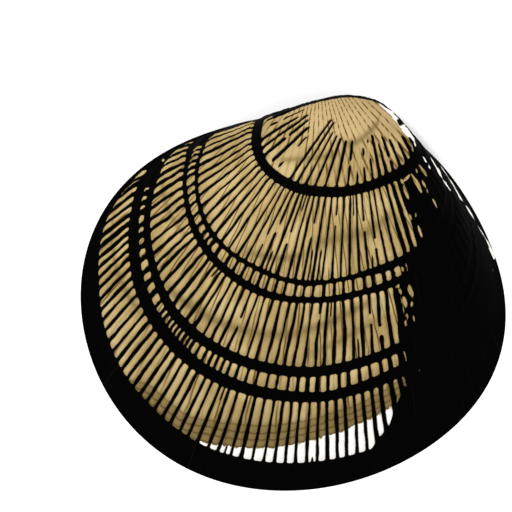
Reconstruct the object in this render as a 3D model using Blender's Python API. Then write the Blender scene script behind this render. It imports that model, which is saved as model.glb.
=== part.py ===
# One valve of a rounded clam shell, lying on its rim with the domed, ribbed side up.
# Metres, +Z up. The hinge and the beak are towards +Y, the free edge towards -Y.

from math import cos, exp, pi, radians, sin

import bmesh
import bpy
import numpy as np
from mathutils import Matrix, Vector

MM = 0.001

# The rim lies in the plane z = 0. Its reach from its middle is given at twelve even steps, from
# the free edge round by +X, the hinge and -X. The middle is measured from the tip of the beak.
RIM_REACH = np.array([31.2, 31.1, 33.2, 34.2, 32.5, 32.6, 31.2, 31.0, 34.2, 35.6, 34.7, 33.0]) * MM
RIM_MIDDLE_X = -7.2 * MM
RIM_MIDDLE_Y = -33.2 * MM

# A growth line is the rim turned up about the hinge axis, which runs through the beak, and shrunk.
LENGTH_LOSS = 1.2       # the length falls by exp(-1.2) for each radian of turn
HEIGHT_LOSS = 1.6
SWELL = 1.3             # the dome's height against that of a plain turn
BEAK_LIFT = 2.5 * MM    # the beak ends this far above the plane of the rim
BEAK_TURN = 2.65        # radians, where the coil of the beak is closed
BEAK_ROWS = (1.27, 1.46, 1.7, 1.97, 2.28, BEAK_TURN)
BEAK_COLUMNS = (48, 48, 24, 24, 24, 24)

# Ribbed zones from the rim to the beak: turn at both ends, ribs that a whole loop would have, and
# rows of the mesh. Dark growth bands lie between them, and the lowest band reaches the rim.
ZONES = (
    (0.055, 0.150, 108, 3),
    (0.175, 0.208, 108, 3),
    (0.232, 0.362, 90, 3),
    (0.388, 0.418, 90, 3),
    (0.440, 0.705, 72, 4),
    (0.768, 1.100, 48, 4),
)
RIB_SPAN = radians(140)   # the ribs of the rim stop this far round from the free edge
RIB_SPAN_LOSS = radians(30)    # and sooner by this for each radian of turn
RIB_FADE = radians(45)    # they grow to their full height over this
HINGE_COLUMNS = 12
RIB_HEIGHT = 0.34 * MM
BAND_DEPTH = 0.2 * MM
ZONE_END_SHARE = 0.5      # of the rib height, where a zone ends
SLOPE_STEP = 1e-3         # radians, over which the way out of the dome is measured
SHARP_ANGLE = radians(20)      # edges steeper than this stay sharp

# The dark outer skin also covers the +X flank, between these angles; it starts further round by
# 0.82 radians for each radian of turn.
FLANK_START, FLANK_END = radians(33), radians(165)
FLANK_PER_TURN = 0.82

# The hollow: a bowl whose deepest point leans towards the beak, and the flat edge round it.
EDGE_WIDTH = 2.5 * MM
HINGE_PLATE_WIDTH = 7.2 * MM
PLATE_START, PLATE_FULL = radians(105), radians(162)
HOLLOW_DEPTH = 16.3 * MM
HOLLOW_LEAN_X = 5 * MM
HOLLOW_LEAN_Y = 13 * MM
HOLLOW_ROWS = (0.93, 0.8, 0.66, 0.5, 0.33, 0.16)   # shares of the reach from the middle
HOLLOW_COLUMNS = 48
NOTCHES = 48              # of the notched inner edge, round a whole loop
NOTCH_DEPTH = 0.5 * MM

# Sockets of the hinge, cut in the plate in two series with the teeth left standing between them.
SOCKETS_EACH_SIDE = 8
SOCKET_FIRST, SOCKET_LAST = radians(8), radians(42)    # round from the beak's middle line
SOCKET_LENGTH, SOCKET_WIDTH, SOCKET_DEPTH = 4.2 * MM, 1.05 * MM, 0.9 * MM
SOCKET_SHRINK = 0.35      # share by which the last socket of a series is shorter than the first
SOCKET_AIM = 17 * MM      # the sockets point at a place this far from the hinge axis

WORN, SKIN, INSIDE = 0, 1, 2    # material slots


def material(name, colour, roughness):
    made = bpy.data.materials.new(name)
    made.use_nodes = True
    shader = made.node_tree.nodes["Principled BSDF"]
    shader.inputs["Base Color"].default_value = (*colour, 1)
    shader.inputs["Roughness"].default_value = roughness
    shader.inputs["Metallic"].default_value = 0
    made.diffuse_color = (*colour, 1)
    return made


def rim_reach(angle):
    """Smooth closed curve through the twelve reaches."""
    terms = np.fft.rfft(RIM_REACH) / len(RIM_REACH)
    last = len(terms) - 1
    waves = sum(2 * (terms[k] * np.exp(1j * k * angle)).real for k in range(1, last))
    return terms[0].real + waves + terms[last].real * cos(last * angle)


def growth_point(angle, turn, raised=0.0):
    """A point of the outside: its angle round the rim, its turn, and its height above the smooth dome."""
    reach = rim_reach(angle)
    height = exp(-HEIGHT_LOSS * turn)
    x = (RIM_MIDDLE_X + reach * sin(angle)) * exp(-LENGTH_LOSS * turn)
    out = -(RIM_MIDDLE_Y - reach * cos(angle)) * height
    lift = BEAK_LIFT * sin(min(turn, pi / 2))
    point = Vector((x, -out * cos(turn), out * sin(turn) * SWELL + lift))
    if raised:
        along = growth_point(angle + SLOPE_STEP, turn) - growth_point(angle - SLOPE_STEP, turn)
        up = growth_point(angle, turn + SLOPE_STEP) - growth_point(angle, turn - SLOPE_STEP)
        point += along.cross(up).normalized() * raised
    return point


def round_angle(angle):
    return (angle + pi) % (2 * pi) - pi


def from_free_edge(angle):
    return abs(round_angle(angle))


def hollow_point(angle, share):
    """A point of the bowl: its angle, and its share of the way out from the deepest point to the edge."""
    ring = reach_inside(angle)
    x = RIM_MIDDLE_X + ring * sin(angle) * share + HOLLOW_LEAN_X * (1 - share)
    y = RIM_MIDDLE_Y - ring * cos(angle) * share + HOLLOW_LEAN_Y * (1 - share)
    return Vector((x, y, HOLLOW_DEPTH * (1 - share ** 2)))


def smooth_step(value, start, end):
    share = min(max((value - start) / (end - start), 0), 1)
    return share * share * (3 - 2 * share)


def reach_inside(angle):
    plate = smooth_step(from_free_edge(angle), PLATE_START, PLATE_FULL)
    return rim_reach(angle) - EDGE_WIDTH - (HINGE_PLATE_WIDTH - EDGE_WIDTH) * plate


def rib_columns(ribs):
    """Angles of the crests and grooves of so many ribs, and of the plain hinge side, -pi to pi."""
    half = pi / ribs
    count = int(RIB_SPAN / half)
    ribbed = [k * half for k in range(-count, count + 1)]
    hinge = np.linspace(ribbed[-1], 2 * pi + ribbed[0], HINGE_COLUMNS + 2)[1:-1]
    return sorted(ribbed + [round_angle(angle) for angle in hinge])


def even_columns(count):
    return [2 * pi * k / count - pi for k in range(count)]


def add_loop(mesh, angles, point_at):
    return [(angle, mesh.verts.new(point_at(angle))) for angle in angles]


def rib_row(mesh, turn, ribs, rib_share=0.0, sunk=0.0):
    none = RIB_SPAN - RIB_SPAN_LOSS * turn
    full = none - RIB_FADE

    def point_at(angle):
        fade = 1 - smooth_step(from_free_edge(angle), full, none)
        return growth_point(angle, turn, 0.5 * RIB_HEIGHT * rib_share * fade * cos(ribs * angle) - sunk)

    return add_loop(mesh, rib_columns(ribs), point_at)


def outside_rows(mesh):
    """(turn, loop, slot of the strip that leads up to it) from the rim to the closing of the beak."""
    rows = [(0, rib_row(mesh, 0, ZONES[0][2]), SKIN)]
    for start, end, ribs, count in ZONES:
        for turn in np.linspace(start, end, count):
            at_end = turn in (start, end)
            share, sunk = (ZONE_END_SHARE, BAND_DEPTH) if at_end else (1, 0)
            rows.append((turn, rib_row(mesh, turn, ribs, share, sunk), SKIN if turn == start else WORN))
    for turn, count in zip(BEAK_ROWS, BEAK_COLUMNS):
        row = add_loop(mesh, even_columns(count), lambda angle: growth_point(angle, turn))
        rows.append((turn, row, WORN))
    return rows


def notched_edge(angle):
    """The hollow's edge, with every other point of its free side set out into a notch."""
    side = 1 - smooth_step(from_free_edge(angle), PLATE_START, PLATE_FULL)
    out = NOTCH_DEPTH * side * (round((angle + pi) * NOTCHES / pi) % 2)
    return hollow_point(angle, 1) + Vector((sin(angle), -cos(angle), 0)) * out


def hollow_rows(mesh):
    """Loops from the flat edge towards the deepest point of the hollow."""
    rows = [add_loop(mesh, even_columns(2 * NOTCHES), notched_edge)]
    for share in HOLLOW_ROWS:
        rows.append(add_loop(mesh, even_columns(HOLLOW_COLUMNS), lambda angle: hollow_point(angle, share)))
    return rows


def stitch(mesh, lower, upper, slot_at):
    """Triangles between two closed loops of unlike counts, taking the nearer next corner each time."""
    low = lower + [(lower[0][0] + 2 * pi, lower[0][1])]
    high = upper + [(upper[0][0] + 2 * pi, upper[0][1])]
    i = j = 0
    while i < len(lower) or j < len(upper):
        if j == len(upper) or (i < len(lower) and low[i + 1][0] <= high[j + 1][0]):
            corners = (low[i][1], low[i + 1][1], high[j][1])
            i += 1
        else:
            corners = (low[i][1], high[j + 1][1], high[j][1])
            j += 1
        mesh.faces.new(corners).material_index = slot_at(low[i][0])


def close_loop(mesh, loop, tip, slot):
    corner = mesh.verts.new(tip)
    ring = [vert for _, vert in loop]
    for a, b in zip(ring, ring[1:] + ring[:1]):
        mesh.faces.new((a, b, corner)).material_index = slot


def valve_mesh():
    mesh = bmesh.new()
    outside = outside_rows(mesh)
    hollow = hollow_rows(mesh)
    ribs_end = ZONES[-1][1]

    for (turn, lower, _), (_, upper, slot) in zip(outside, outside[1:]):
        flank = FLANK_START + FLANK_PER_TURN * turn if turn < ribs_end else pi
        stitch(mesh, lower, upper, lambda angle: SKIN if flank < angle < FLANK_END else slot)
    for lower, upper in zip([outside[0][1]] + hollow, hollow):
        stitch(mesh, lower, upper, lambda angle: INSIDE)

    beak_end = sum((vert.co for _, vert in outside[-1][1]), Vector()) / BEAK_COLUMNS[-1]
    close_loop(mesh, outside[-1][1], beak_end, WORN)
    close_loop(mesh, hollow[-1], hollow_point(0, 0), INSIDE)
    bmesh.ops.recalc_face_normals(mesh, faces=mesh.faces[:])
    return mesh


def socket_mesh():
    """Short bars across the hinge plate, half above and half below its face."""
    mesh = bmesh.new()
    aim = Vector((RIM_MIDDLE_X, -SOCKET_AIM, 0))
    for side in (-1, 1):
        for share in np.linspace(0, 1, SOCKETS_EACH_SIDE):
            angle = pi + side * (SOCKET_FIRST + (SOCKET_LAST - SOCKET_FIRST) * share)
            middle = (growth_point(angle, 0) + hollow_point(angle, 1)) / 2
            across = middle - aim
            turned = Matrix.Rotation(np.arctan2(across.y, across.x), 4, "Z")
            length = SOCKET_LENGTH * (1 - SOCKET_SHRINK * share)
            size = Matrix.Diagonal((length, SOCKET_WIDTH, 2 * SOCKET_DEPTH, 1))
            bmesh.ops.create_cube(mesh, size=1, matrix=Matrix.Translation(middle) @ turned @ size)
    for face in mesh.faces:
        face.material_index = INSIDE
    return mesh


def add_object(name, mesh, collection):
    data = bpy.data.meshes.new(name)
    mesh.to_mesh(data)
    mesh.free()
    obj = bpy.data.objects.new(name, data)
    collection.objects.link(obj)
    return obj


def new_collection(name):
    made = bpy.data.collections.new(name)
    bpy.context.scene.collection.children.link(made)
    return made


def build():
    for obj in list(bpy.data.objects):
        bpy.data.objects.remove(obj)

    shell = valve_mesh()
    corners = np.array([vert.co for vert in shell.verts])
    middle = (corners.min(axis=0) + corners.max(axis=0)) / 2
    to_middle = Vector((-middle[0], -middle[1], 0))

    valve = add_object("valve", shell, new_collection("clam shell"))
    valve.data.materials.append(material("worn tan shell", (0.49, 0.37, 0.16), 0.6))
    valve.data.materials.append(material("dark outer skin", (0.012, 0.010, 0.008), 0.45))
    valve.data.materials.append(material("porcelain inside", (0.82, 0.77, 0.68), 0.3))
    valve.data.shade_smooth()
    valve.data.set_sharp_from_angle(angle=SHARP_ANGLE)

    sockets = add_object("hinge sockets", socket_mesh(), new_collection("cutters"))
    sockets.hide_render = True
    sockets.display_type = "WIRE"
    cut = valve.modifiers.new("hinge sockets", "BOOLEAN")
    cut.operation = "DIFFERENCE"
    cut.object = sockets

    valve.location = to_middle
    sockets.location = to_middle


build()
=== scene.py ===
# One valve of a clam, lying on its rim and seen from straight above. Dark outer skin is left in
# the grooves, at the growth bands and along the margin, whose lower part also stands in for painted shade.
# The near-black over the +X flank and where the shell turns down steeply is painted shade. The ribs are worn
# tan.

import bpy
import numpy as np
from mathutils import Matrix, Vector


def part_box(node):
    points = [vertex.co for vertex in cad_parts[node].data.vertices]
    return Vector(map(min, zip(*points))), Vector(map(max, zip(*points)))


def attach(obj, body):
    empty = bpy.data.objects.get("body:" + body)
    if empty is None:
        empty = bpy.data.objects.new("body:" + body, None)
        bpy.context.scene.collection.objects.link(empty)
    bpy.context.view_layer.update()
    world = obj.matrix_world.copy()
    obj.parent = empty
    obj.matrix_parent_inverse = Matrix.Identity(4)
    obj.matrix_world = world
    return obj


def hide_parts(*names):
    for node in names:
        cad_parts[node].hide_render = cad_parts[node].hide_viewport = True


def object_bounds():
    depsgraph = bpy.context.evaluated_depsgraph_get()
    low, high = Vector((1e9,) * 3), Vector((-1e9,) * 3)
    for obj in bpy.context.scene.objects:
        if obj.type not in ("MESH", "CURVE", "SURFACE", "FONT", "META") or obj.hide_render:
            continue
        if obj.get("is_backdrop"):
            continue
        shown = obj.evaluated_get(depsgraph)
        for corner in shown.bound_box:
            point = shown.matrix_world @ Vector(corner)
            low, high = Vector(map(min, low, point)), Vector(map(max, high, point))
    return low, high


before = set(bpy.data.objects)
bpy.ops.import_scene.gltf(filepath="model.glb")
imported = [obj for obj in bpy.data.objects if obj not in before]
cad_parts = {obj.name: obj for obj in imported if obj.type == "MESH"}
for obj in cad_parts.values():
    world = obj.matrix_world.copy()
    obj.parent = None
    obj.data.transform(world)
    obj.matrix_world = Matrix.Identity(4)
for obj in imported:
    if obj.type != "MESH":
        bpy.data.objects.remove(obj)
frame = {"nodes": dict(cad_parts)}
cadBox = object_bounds()
mm = 0.001
print("frame loaded:", ", ".join(frame["nodes"]))

# How the shell grows. Lengths are in mm. An angle is in degrees round the rim, from the free edge
# by +X, and a turn is in radians about the hinge axis, from the rim to the beak.
growth = {
    "rimReach": (31.2, 31.1, 33.2, 34.2, 32.5, 32.6, 31.2, 31.0, 34.2, 35.6, 34.7, 33.0),
    "rimMiddle": (-7.2, -33.2),     # from the tip of the beak
    "lengthLoss": 1.2,
    "heightLoss": 1.6,
    "swell": 1.3,
    "beakLift": 2.5,
    "beakTurn": 2.65,
    "dropAngle": 112,       # growth lines run down to the rim this far round, on the -X side
    "dropAngleRight": 124,
    "dropPerAge": 40,       # and further round by this for an older line
    "dropOver": 10,
    "bulgeLeft": (0.19, -92, 28),   # how much, and its middle and width in degrees
    "bulgeRight": (0.13, 0, 75),    # how much, and between which degrees it comes in
}


def smooth(value, start, end):
    share = np.clip((value - start) / (end - start), 0, 1)
    return share * share * (3 - 2 * share)


def bump(value, middle, width):
    return np.exp(-((value - middle) / width) ** 2)


def fromTable(table, value):
    return np.interp(value, *np.array(table, dtype=float).T)


def softNoise(u, v, seed):
    # smooth noise between -1 and 1, which repeats after 64 steps
    grid = np.random.default_rng(seed).uniform(-1, 1, (64, 64))
    u, v = np.broadcast_arrays(u, v)
    lowU, lowV = np.floor(u).astype(int), np.floor(v).astype(int)
    partU, partV = smooth(u - lowU, 0, 1), smooth(v - lowV, 0, 1)
    corner = lambda stepU, stepV: grid[(lowU + stepU) % 64, (lowV + stepV) % 64]
    near = corner(0, 0) * (1 - partU) + corner(1, 0) * partU
    far = corner(0, 1) * (1 - partU) + corner(1, 1) * partU
    return near * (1 - partV) + far * partV


def rimReach(angle):
    terms = np.fft.rfft(growth["rimReach"]) / len(growth["rimReach"])
    last = len(terms) - 1
    reach = terms[0].real + terms[last].real * np.cos(last * np.radians(angle))
    for k in range(1, last):
        reach = reach + 2 * (terms[k] * np.exp(1j * k * np.radians(angle))).real
    return reach


def domePoint(angle, turn):
    middleX, middleY = growth["rimMiddle"]
    sine, cosine = np.sin(np.radians(angle)), np.cos(np.radians(angle))
    x = (middleX + rimReach(angle) * sine) * np.exp(-growth["lengthLoss"] * turn)
    out = (rimReach(angle) * cosine - middleY) * np.exp(-growth["heightLoss"] * turn)
    lift = growth["beakLift"] * np.sin(np.minimum(turn, np.pi / 2))
    return np.stack([x, -out * np.cos(turn), out * np.sin(turn) * growth["swell"] + lift], axis=-1)


def domeNormal(angle, turn):
    step = 0.05
    along = domePoint(angle + step, turn) - domePoint(angle - step, turn)
    up = domePoint(angle, turn + step * 0.02) - domePoint(angle, turn - step * 0.02)
    across = np.cross(along, up)
    return across / np.linalg.norm(across, axis=-1, keepdims=True)


def mmPerDegree(angle, turn):
    return np.linalg.norm(domePoint(angle + 0.5, turn) - domePoint(angle - 0.5, turn), axis=-1)


def ringPoint(angle, height):
    # a place on the tube that fine patterns are laid on, by the angle round it and the height along it
    return np.stack([np.sin(np.radians(angle)), np.cos(np.radians(angle)), height + 0 * angle], axis=-1)


def lineTurn(angle, age):
    # the turn of a growth line of this age: lines bulge on both sides and drop beside the hinge
    left, *leftPlace = growth["bulgeLeft"]
    right, *rightPlace = growth["bulgeRight"]
    early = np.minimum(age, 0.8) ** 2 * (1 - smooth(age, 1.1, 2.4))
    bulge = 1 + early * (left * bump(angle, *leftPlace) + right * smooth(angle, *rightPlace))
    dropAngle = np.where(angle < 0, growth["dropAngle"], growth["dropAngleRight"])
    past = np.abs(angle) - dropAngle - growth["dropPerAge"] * age
    return age * bulge / (1 + np.exp(past / growth["dropOver"]))


# Dark growth bands: each goes round the rim as (angle, age of its lower edge, age of its upper edge).
# The dark margin ends at an age of its own, as (angle, age). It is dark skin, and its lower part also stands
# in for painted shade.
bands = {
    "margin": (
        (-118, 0.07), (-114, 0.06), (-110, 0.055), (-105, 0.047), (-95, 0.053), (-85, 0.057), (-75, 0.052),
        (-60, 0.049), (-45, 0.051), (-35, 0.048), (-25, 0.045), (28, 0.045), (31, 0.062), (34, 0.072),
        (36.5, 0.1), (38.5, 0.118), (41, 0.128), (44, 0.15)),
    "rows": (
        ((-125, 0.142, 0.2), (-112, 0.15, 0.194), (-105, 0.157, 0.194), (-85, 0.16, 0.194),
         (-75, 0.156, 0.187), (-55, 0.156, 0.183), (-35, 0.156, 0.177), (-5, 0.156, 0.175),
         (10, 0.154, 0.171), (25, 0.157, 0.178), (35, 0.159, 0.182)),
        ((-125, 0.237, 0.258), (-115, 0.225, 0.252), (-105, 0.216, 0.243), (-95, 0.214, 0.238),
         (-75, 0.213, 0.234), (-55, 0.204, 0.225), (-35, 0.206, 0.225), (5, 0.204, 0.223),
         (25, 0.209, 0.229), (35, 0.211, 0.23)),
        ((-125, 0.362, 0.404), (-115, 0.365, 0.39), (-105, 0.364, 0.381), (-95, 0.366, 0.381),
         (-85, 0.372, 0.388), (-65, 0.372, 0.392), (-45, 0.37, 0.389), (-25, 0.364, 0.38),
         (-15, 0.365, 0.379), (5, 0.371, 0.384), (15, 0.372, 0.388), (25, 0.376, 0.39), (35, 0.371, 0.39)),
        ((-135, 0.484, 0.51), (-125, 0.445, 0.461), (-115, 0.43, 0.447), (-105, 0.418, 0.434),
         (-85, 0.42, 0.432), (-65, 0.416, 0.43), (-45, 0.42, 0.43), (-35, 0.421, 0.431), (-15, 0.414, 0.424),
         (-5, 0.411, 0.424), (5, 0.419, 0.428), (15, 0.424, 0.434), (25, 0.425, 0.44), (35, 0.42, 0.442)),
        ((-135, 0.69, 0.8), (-125, 0.715, 0.784), (-115, 0.711, 0.774), (-105, 0.707, 0.77),
         (-95, 0.702, 0.764), (-85, 0.702, 0.76), (-60, 0.715, 0.757), (-45, 0.713, 0.755),
         (-25, 0.703, 0.743), (-5, 0.706, 0.75), (15, 0.712, 0.755), (45, 0.712, 0.757), (58, 0.702, 0.757),
         (75, 0.711, 0.775), (90, 0.7, 0.775)),
    ),
    "spread": 0.001,        # age, added past each edge
    "sunk": 0.2,            # mm
    "slope": 0.8,           # mm, over which the shell rises from a band
    "marginRows": (0, 0.12, 0.4, 0.75),     # shares of the way up, where the mesh has a row
    "rowUnder": 0.7,        # the same, for the row of a band that is under a zone
    "rowOver": 0.3,
}

# Ribbed zones between the bands, from the rim to the umbo. In degrees: apart is from one dark line to
# the next, wide is a line's width and lean is how far it turns aside for each radian of age. A zone is
# closed past its leftEnd. Each table goes round the rim from the hinge, as (angle, value). Of the
# lines, short is the share that has a short stroke beside it, and broken the share with a gap.
zones = (
    # newest
    {"perRib": 6, "rows": 20, "jitter": 0.08, "waver": 0.05, "short": 0.1,
     "leftEnd": -118,
     "apart": (
        (-180, 6.5), (-125, 5.4), (-112, 4.4), (-100, 3.7), (-90, 3), (-62, 3.05), (-35, 3.15), (-25, 3.5),
        (-10, 3.5), (5, 3.4), (35, 3.3), (60, 3.5), (120, 4.5), (180, 6.5)),
     "wide": (
        (-125, 6), (-118, 4), (-112, 2.2), (-104, 1.8), (-96, 2.2), (-90, 1.5), (-75, 1.15), (-60, 1.05),
        (-30, 1.15), (0, 1.05), (8, 1.2), (15, 1.45), (22, 1.2), (30, 1.5), (36, 1.9), (42, 2)),
     "lean": (
        (-180, 0), (-115, -40), (-100, -5), (-80, 3), (-60, 17), (-40, 14), (-28, 6), (-15, -3), (0, -13),
        (12, -20), (30, -20), (45, -25), (180, 0))},
    # lower cells
    {"perRib": 6, "rows": 7, "jitter": 0.12, "waver": 0, "short": 0,
     "leftEnd": -107,
     "apart": (
        (-180, 7), (-125, 6), (-104, 4.6), (-66, 4.3), (-61, 4.2), (-58, 2), (-45, 1.9), (-40, 2.9),
        (-30, 2.4), (-26, 2.6), (-23, 4.1), (0, 3.8), (40, 4.3), (120, 5.5), (180, 7)),
     "wide": (
        (-104, 2.5), (-96, 2.6), (-79, 2.1), (-66, 2.3), (-62, 1.2), (-28, 1.1), (-22, 1), (-4, 1.1),
        (5, 1.9), (14, 1.3), (30, 1.4), (40, 1.9)),
     "lean": ((-180, 0), (-110, 20), (-60, 20), (-20, 0), (30, -25), (180, 0))},
    # lower middle
    {"perRib": 7, "rows": 22, "jitter": 0.09, "waver": 0.1, "short": 0.14,
     "leftEnd": -134, "broken": 0.1, "brokenWithin": 60,
     "apart": (
        (-180, 9), (-125, 7), (-103, 5.3), (-85, 4.5), (-75, 4.1), (-45, 4.15), (-36, 3.65), (-28, 3.7),
        (0, 3.85), (40, 4.3), (120, 6), (180, 8)),
     "wide": (
        (-126, 4), (-116, 2), (-109, 3), (-102, 2.5), (-92, 1.9), (-86, 1.95), (-82, 1.4), (-60, 1.45),
        (-40, 1.25), (-25, 1.05), (-5, 1.15), (10, 1.25), (28, 1.5), (38, 1.7)),
     "lean": (
        (-180, 0), (-110, 5), (-100, 14), (-82, 24), (-76, 29), (-66, 20), (-50, 24), (-42, 12), (-30, 4),
        (-20, -3), (-5, -5), (5, -11), (17, -18), (40, -14), (180, 0))},
    # upper cells
    {"perRib": 7, "rows": 7, "jitter": 0.14, "waver": 0, "short": 0,
     "leftEnd": -121,
     "apart": (
        (-180, 9), (-120, 5.5), (-100, 4.6), (-96, 6), (-70, 6), (-65, 3.7), (-57, 3.8), (-52, 5.5),
        (-42, 5.4), (-36, 4.3), (-4, 4.4), (2, 5), (45, 5.2), (120, 7), (180, 9)),
     "wide": (
        (-116, 2.7), (-110, 2.7), (-104, 3), (-95, 2.3), (-80, 1.8), (-60, 2), (-45, 1.9), (-36, 1.55),
        (-15, 1.5), (-5, 1.2), (5, 1.6), (15, 1.3), (30, 1.9), (42, 2.8)),
     "lean": ((-180, 0), (-110, 15), (-60, 20), (-20, 0), (30, -25), (180, 0))},
    # upper middle
    {"perRib": 9, "rows": 36, "jitter": 0.08, "waver": 0.08, "short": 0.3,
     "leftEnd": -141, "broken": 0.4, "brokenWithin": 45,
     "flare": 0.2,      # how much wider its lines are at its top
     "apart": (
        (-180, 10), (-115, 8.5), (-104, 8), (-92, 7), (-85, 5.6), (-70, 6), (-60, 5.6), (-54, 5), (-40, 5.2),
        (-32, 4.3), (-5, 4.3), (5, 4.8), (25, 5), (35, 5.4), (50, 5.3), (120, 8), (180, 10)),
     "wide": (
        (-127, 5), (-117, 2.3), (-110, 3.4), (-104, 4.1), (-96, 2.8), (-88, 2.5), (-80, 2.2), (-74, 1.8),
        (-66, 1.7), (-60, 1.9), (-50, 1.4), (-40, 1.3), (-31, 1.25), (-24, 1.55), (-16, 1.3), (20, 1.4),
        (35, 1.5), (45, 2.2), (55, 3)),
     "lean": (
        (-180, 0), (-115, 40), (-104, 38), (-80, 34), (-71, 28), (-57, 21), (-44, 19), (-38, 12), (-29, 8),
        (-20, 1), (-12, -5), (0, -8), (10, -12), (20, -16), (32, -20), (40, -27), (60, -27), (120, -15),
        (180, 0))},
    # oldest
    {"perRib": 11, "rows": 40, "waver": 0.012, "leftEnd": -185,
     # each line: its angle at strokeAge, its lean, its width there and at its end, and the ages from
     # which and to which it is drawn, twice where it is broken
     "strokeAge": 0.775,
     "strokes": (
        (-166, 0, 3, 2, 0.7, 0.8), (-152, 0, 3, 2, 0.7, 0.8), (-139, 20, 3, 2, 0.7, 0.85),
        (-127, 40, 4, 4, 0.7, 0.95), (-114, 60, 4.5, 5, 0.7, 0.97), (-102, 55, 4, 7, 0.79, 1),
        (-89, 54, 3.2, 6, 0.82, 0.895, 0.94, 1.2), (-76.2, 39, 4.4, 5.4, 0.7, 1.11),
        (-68.2, 38, 3.2, 5, 0.7, 1.195), (-61.5, 39, 3.6, 3.4, 0.7, 0.935, 0.95, 1.16),
        (-52.6, 37, 3.2, 4.2, 0.775, 1.1), (-45.3, 37, 2, 2.2, 0.775, 0.815, 0.92, 1.02), (-39, 32, 2, 2),
        (-32.1, 27, 1.8, 3.4, 0.7, 1.225), (-26.4, 26, 1.7, 2.9, 0.7, 1.2), (-20.2, 22, 1.8, 2.2, 0.7, 1.1),
        (-13.6, 20, 1.8, 2.6, 0.7, 1.08), (-6.6, 12, 1.6, 3.4, 0.7, 1.06), (1.8, 4, 1.6, 3.8, 0.7, 1.045),
        (9.9, -2, 1.7, 3, 0.7, 0.87, 0.885, 1.04), (17.1, -5, 1.8, 1.6, 0.7, 0.825),
        (23.2, -13, 2.2, 2.4, 0.7, 0.845, 0.9, 0.97), (29.6, -15, 2, 1.7, 0.7, 0.885, 0.985, 1.02),
        (35.7, -18, 2.5, 3.6, 0.7, 1.05), (41.7, -22, 3, 2.6, 0.7, 0.965),
        (48.2, -22, 2.6, 3, 0.7, 0.825, 0.835, 1.015), (55.3, -23, 2.9, 3, 0.7, 0.965),
        (63.6, -19, 4.4, 2.8, 0.7, 0.915), (72.5, -22, 6, 4.8, 0.7, 0.94), (81, -15, 5.6, 4.5, 0.7, 0.885),
        (94, 0, 6, 6, 0.7, 0.94), (104, 0, 3, 2, 0.7, 0.92), (114, 0, 3, 2, 0.7, 0.9),
        (126, 0, 3, 2, 0.7, 0.87), (139, 0, 3, 2, 0.7, 0.85), (152, 0, 3, 2, 0.7, 0.8),
        (166, 0, 3, 2, 0.7, 0.8)),
     "taper": 0.03},
)
ribs = {
    "height": 0.36,             # mm from groove to crest
    "span": 142,                # degrees from the free edge to the last rib of the rim
    "spanLoss": 30,             # and less by this for each radian of turn
    "fade": 45,
    "rise": 0.28,               # from groove to crest, as a share of apart
    "ripples": ((0.05, 0.05, 70), (0.06, 0.11, 17)),    # mm high, and how close round and up
    "oldestEnd": 1.28,
    "uneven": 0.12,             # how much one line's width differs from the next
    "wavy": 0.2,                # and how much it changes along the line
    "shortStroke": (0.12, 0.42),    # how long a short stroke is, as a share of its zone
    "shortWithin": (-68, 40),   # degrees from the free edge
    "shortWidth": 0.55,         # how wide it is, as a share of its neighbours
    "gapLength": 0.05,          # half of the longest gap in a line, as a share of its zone
    "gone": -0.35,              # half of the width where there is no line, as a share of apart
    # covered: a line this wide fills its rib; past the flank angle this is painted shade
    "covered": 0.6,             # and where dark skin covers everything
}

# The dark flank is painted shade: past this angle the ribs are lost under the near-black skin colour, as
# (age, angle).
shadedFlank = {
    "angles": (
        (0, 42), (0.14, 43), (0.19, 42), (0.235, 41.5), (0.3, 42), (0.36, 42.5), (0.375, 47), (0.42, 47),
        (0.45, 57), (0.5, 56.5), (0.55, 55.5), (0.6, 52.5), (0.66, 54), (0.7, 55), (0.75, 80), (0.78, 104),
        (1.2, 112), (1.5, 125), (2.6, 150)),
    "closesOver": 4,            # degrees, over which the lines widen until they meet
    "ragged": 0.14,
}

# Worn spots alone in the dark skin, most of them tan flecks in the painted shade of the +X flank: from
# (angle, age) to (angle, age), and half of the width in mm.
# Then the pale spots, which are painted highlights on the +X flank and by the beak, and dark spots alone on
# worn shell, likewise.
wornSpots = (
    (47.2, 0.152, 47.8, 0.133, 0.16), (41.8, 0.36, 42.8, 0.342, 0.27), (43.7, 0.333, 44.4, 0.306, 0.4),
    (46.9, 0.354, 48.1, 0.323, 0.4), (47.5, 0.312, 47.1, 0.298, 0.2), (44, 0.29, 44.8, 0.276, 0.22),
    (43.3, 0.275, 43.6, 0.26, 0.2), (47.2, 0.277, 47.5, 0.262, 0.16), (44.6, 0.411, 45, 0.398, 0.3),
    (51.2, 0.593, 52, 0.585, 0.25), (54.2, 0.67, 55.8, 0.61, 0.28), (54, 0.557, 55.2, 0.532, 0.22),
    (58.8, 0.547, 58, 0.535, 0.16), (58.2, 0.503, 59.2, 0.46, 0.22), (62.5, 0.698, 54.8, 0.688, 0.22),
    (64, 0.695, 67.8, 0.595, 0.33), (70.8, 0.7, 70, 0.68, 0.18), (72, 0.635, 73, 0.6, 0.28),
    (73.2, 0.59, 73, 0.573, 0.18), (75.2, 0.537, 76, 0.495, 0.19), (76, 0.7, 78.8, 0.628, 0.3),
    (-121.5, 0.135, -119.5, 0.09, 0.4), (-125.5, 0.22, -123.5, 0.235, 0.25),
)
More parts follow.
